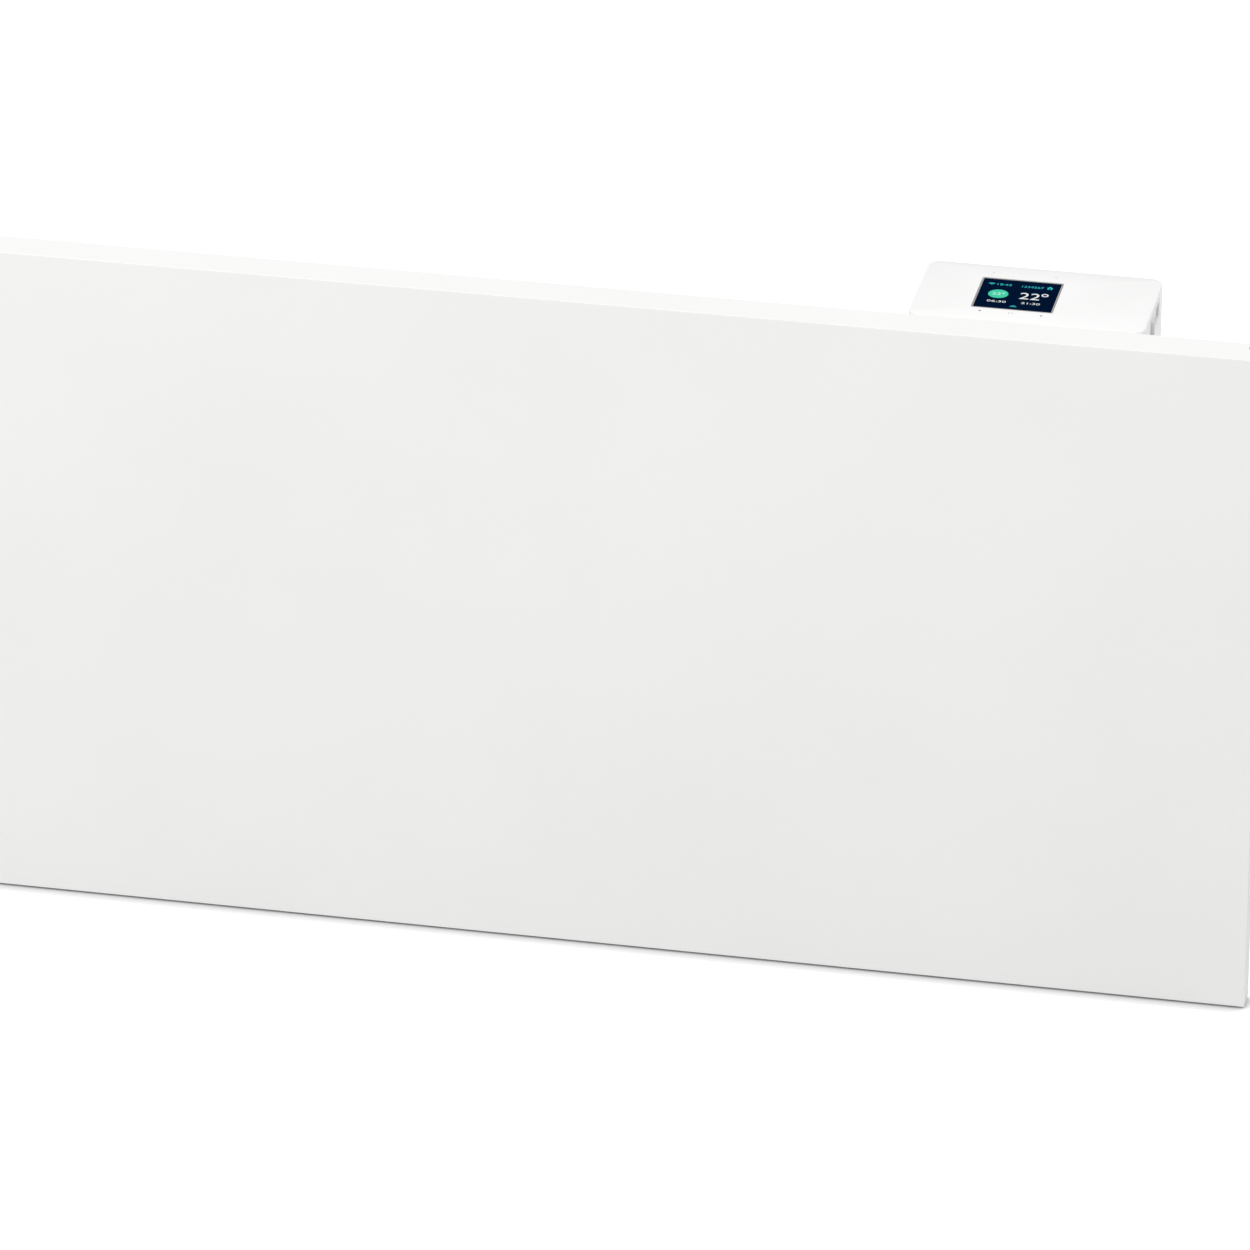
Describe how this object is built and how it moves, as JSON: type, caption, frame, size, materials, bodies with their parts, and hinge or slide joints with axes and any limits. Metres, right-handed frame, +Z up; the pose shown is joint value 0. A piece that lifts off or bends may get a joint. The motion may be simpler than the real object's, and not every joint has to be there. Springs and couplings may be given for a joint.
{
  "type": "wall panel convector heater",
  "caption": "Flat wall-hung electric panel heater with a folded front panel, a rounded control module with a touch display and side rocker switch, and a latching wall bracket.",
  "frame": {"origin": "middle of the wall rail's back face, on the wall, 250 mm above the panel's lower edge", "axes": "+X to the right as seen from the room, +Y into the wall (the front panel faces -Y), +Z up"},
  "size_m": [0.736, 0.098, 0.4],
  "materials": {
    "white_steel": "satin white powder coat",
    "white_plastic": "fine satin white moulding",
    "pale_plastic": "satin pale grey moulding",
    "zinc_steel": "bright zinc plate",
    "raw_aluminium": "mill finish extrusion",
    "dark_steel": "dull dark steel",
    "ceramic_white": "unglazed ceramic",
    "screen_glass": "polished dark display glass",
    "frame_grey": "satin grey",
    "black_plastic": "satin black",
    "board_green": "green solder mask",
    "red_silicone": "silicone sleeve",
    "blue_silicone": "silicone sleeve",
    "grey_rubber": "dull rubber"
  },
  "bodies": {
    "heater": {"front_panel": "white_steel", "side_bracket_left": "zinc_steel", "side_screw_left_1": "zinc_steel", "side_screw_left_2": "zinc_steel", "side_bracket_right": "zinc_steel", "side_screw_right_1": "zinc_steel", "side_screw_right_2": "zinc_steel", "rear_casing": "white_steel", "inner_baffle": "zinc_steel", "baffle_screw_1": "zinc_steel", "baffle_screw_2": "zinc_steel", "baffle_screw_3": "zinc_steel", "baffle_screw_4": "zinc_steel", "outlet_grille": "white_steel", "partition_plate": "zinc_steel", "element_fins": "raw_aluminium", "element_sheath": "dark_steel", "element_bracket_left": "zinc_steel", "element_bush_left": "ceramic_white", "element_bracket_right": "zinc_steel", "element_bush_right": "ceramic_white", "grommet_upper": "grey_rubber", "grommet_lower": "grey_rubber", "live_lead": "red_silicone", "neutral_lead": "blue_silicone", "sensor_lead": "black_plastic", "supply_lead": "black_plastic", "room_sensor": "black_plastic", "sensor_clip": "pale_plastic", "thermal_cutout": "black_plastic", "terminal_block": "pale_plastic", "earth_stud": "zinc_steel", "cable_gland": "black_plastic", "gland_nut": "black_plastic", "module_cap": "white_plastic", "display_frame": "frame_grey", "display_glass": "screen_glass", "display_panel": "black_plastic", "control_board": "board_green", "module_base": "pale_plastic", "power_board": "board_green", "relay": "black_plastic", "capacitor": "dark_steel", "heat_sink": "raw_aluminium", "switch_body": "pale_plastic", "wall_rail": "zinc_steel", "bracket_arm_left": "zinc_steel", "rail_rivet_left_1": "zinc_steel", "rail_rivet_left_2": "zinc_steel", "latch_screw_left": "zinc_steel", "wall_bumper_left": "grey_rubber", "bracket_arm_right": "zinc_steel", "rail_rivet_right_1": "zinc_steel", "rail_rivet_right_2": "zinc_steel", "latch_screw_right": "zinc_steel", "wall_bumper_right": "grey_rubber"},
    "rocker_key": {"switch_rocker": "pale_plastic"},
    "left_latch": {"wall_latch_left": "pale_plastic"},
    "right_latch": {"wall_latch_right": "pale_plastic"}
  },
  "joints": [
    {"name": "rocker", "type": "hinge", "parent": "heater", "child": "rocker_key", "pos_m": [0.2936, -0.0345, 0.1406], "axis": [0, 0, 1], "range_deg": [-13, 0]},
    {"name": "left_latch_turn", "type": "hinge", "parent": "heater", "child": "left_latch", "pos_m": [-0.13, -0.006, 0.1], "axis": [0, 0, 1], "range_deg": [-90, 0]},
    {"name": "right_latch_turn", "type": "hinge", "parent": "heater", "child": "right_latch", "pos_m": [0.13, -0.006, 0.1], "axis": [0, 0, 1], "range_deg": [0, 90]}
  ]
}
